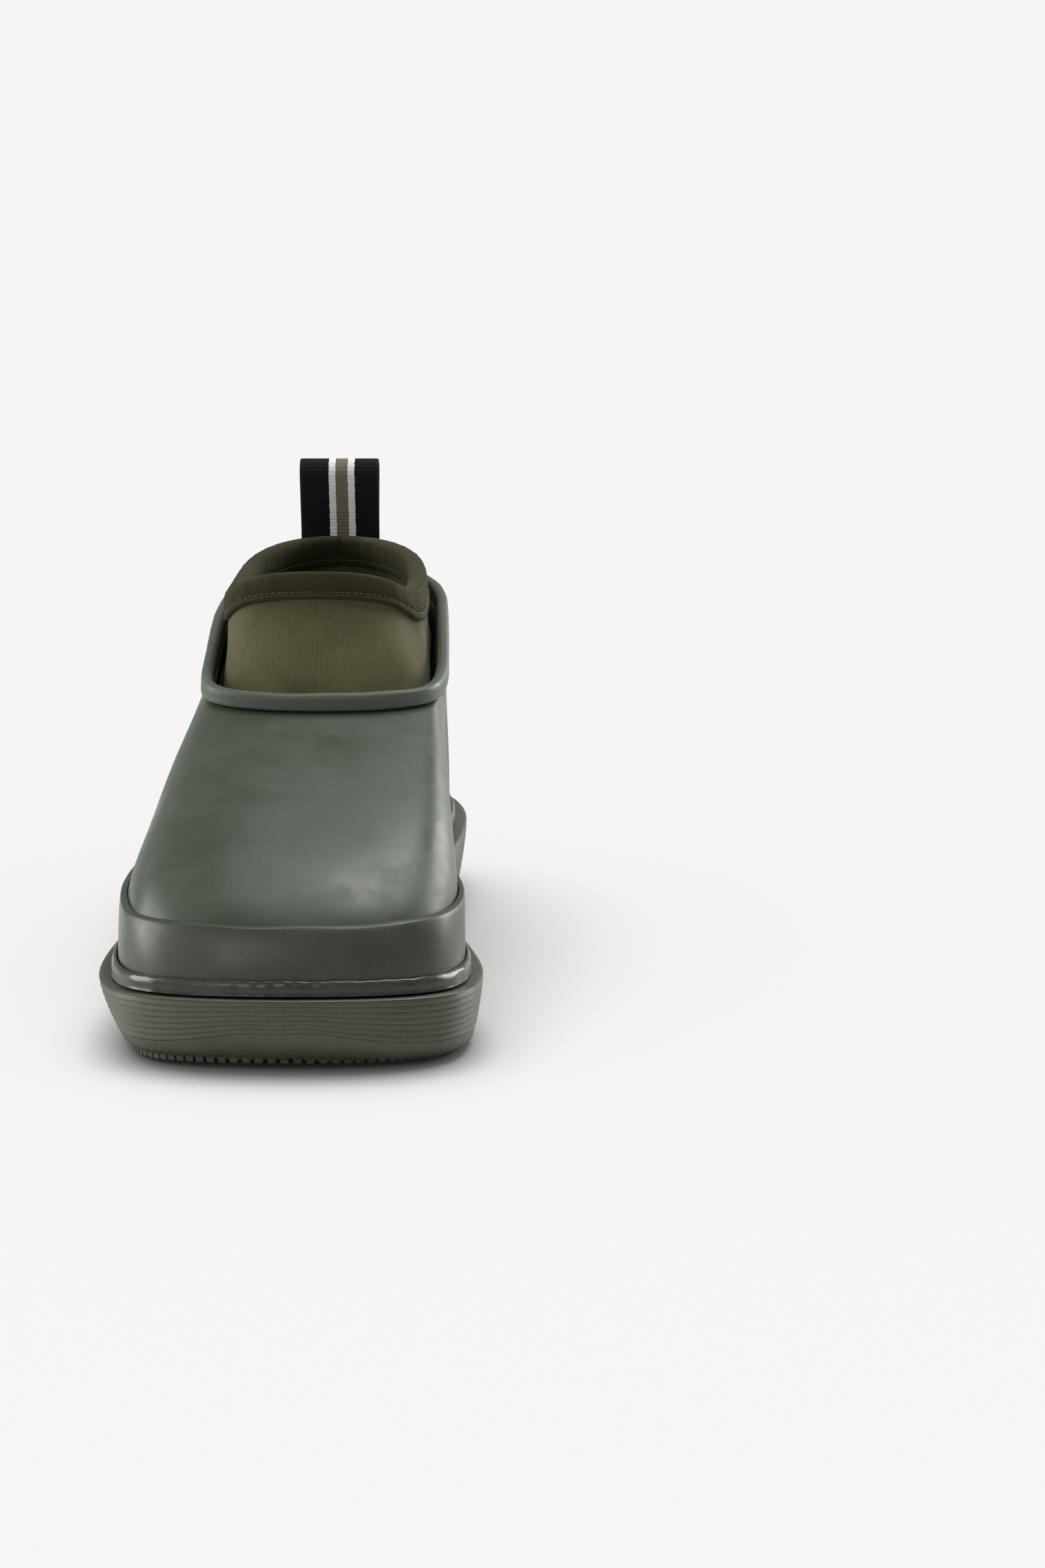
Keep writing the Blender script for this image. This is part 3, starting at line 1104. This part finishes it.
for i, point in enumerate(path):
    ribs = 0.13 * (rib[i] - 1) * (1 - 0.6 * white) + 0.06 * white * math.sin(walked_on[i] * 9.1 + 1)
    thick = half * edge + ribs
    sides = []
    for sign, columns in ((1, slice(None)), (-1, slice(None, None, -1))):
        offset = (thick * sign)[columns]
        y = point[0] + square[i][0] * offset + fall[columns] * tails[i]
        z = point[1] + square[i][1] * offset
        sides.append(np.stack([across[columns] + WEBBING_MIDDLE, y, z], 1))
    loop_rows.append(np.concatenate(sides))
both_sides = np.concatenate([across, across[::-1]]) - STRIPE_OFFSET
loop_uv = np.stack(np.meshgrid(both_sides, walked_on), -1) * MM
pull_loop = skin("webbing_loop", np.stack(loop_rows), wrap=(True, False), uv=loop_uv, sharp=65)


def webbing():
    """Ribbed webbing striped along its length by its UV map: black, white lines and a taupe middle."""
    material, tree, shader = new_material("striped_webbing", Roughness=0.85, Specular_IOR_Level=0.2)
    place = add_node(tree, "ShaderNodeTexCoord").outputs
    apart = add_node(tree, "ShaderNodeSeparateXYZ", {0: place["UV"]})
    jitter = maths(tree, "MULTIPLY", noise(tree, place["Object"], 1400, 2), 0.0005)
    off_middle = maths(tree, "ADD", maths(tree, "ABSOLUTE", apart.outputs["X"]), jitter)
    ramp = add_node(tree, "ShaderNodeValToRGB", {"Fac": mapped(tree, off_middle, 0, HALF_WIDTH * MM)})
    ramp.color_ramp.interpolation = "CONSTANT"
    stops = ramp.color_ramp.elements
    stops[0].position, stops[0].color = 0.0, (0.2, 0.165, 0.12, 1)
    stops[1].position, stops[1].color = 0.175, (0.88, 0.87, 0.85, 1)
    stops.new(0.345).color = (0.006, 0.006, 0.0065, 1)
    yarn = add_node(tree, "ShaderNodeMapping", {"Vector": place["UV"], "Scale": (2600, 5400, 1)})
    weave = noise(tree, yarn.outputs[0], 1, 1)
    tone = add_node(tree, "ShaderNodeVectorMath", {
        0: ramp.outputs["Color"], 1: mapped(tree, weave, 0.3, 0.62, 0.55, 1.05)}, operation="MULTIPLY")
    tree.links.new(tone.outputs[0], shader.inputs["Base Color"])
    roughen(tree, shader, weave, 0.12)
    return material


pull_loop.data.materials.append(webbing())
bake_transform(pull_loop)
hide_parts("pull_loop", "pull_loop_tails")

# Bar tack
# A dense zigzag of black thread across both ends of the webbing, over the back of the collar.
TACK_ROWS, TACK_WIDTH = 34, 20.6
zigzag = []
for step in range(2 * TACK_ROWS + 1):
    x = -TACK_WIDTH / 2 + TACK_WIDTH * step / (2 * TACK_ROWS)
    y, z = collar_tail(4.32, 106.7 + 1.6 * (step % 2))
    zigzag.append((x + WEBBING_MIDDLE, y + float(np.interp(x, across, fall)), z))
black_thread = thread("black_thread", (0.004, 0.004, 0.004), (0.03, 0.03, 0.03))
pull_loop_tack = sewn("tack_stitches", zigzag, False, 0.5, 0.16, 1.5, black_thread)
finish_piece(pull_loop_tack, black_thread, "sewing_thread", "pull_loop_tack")
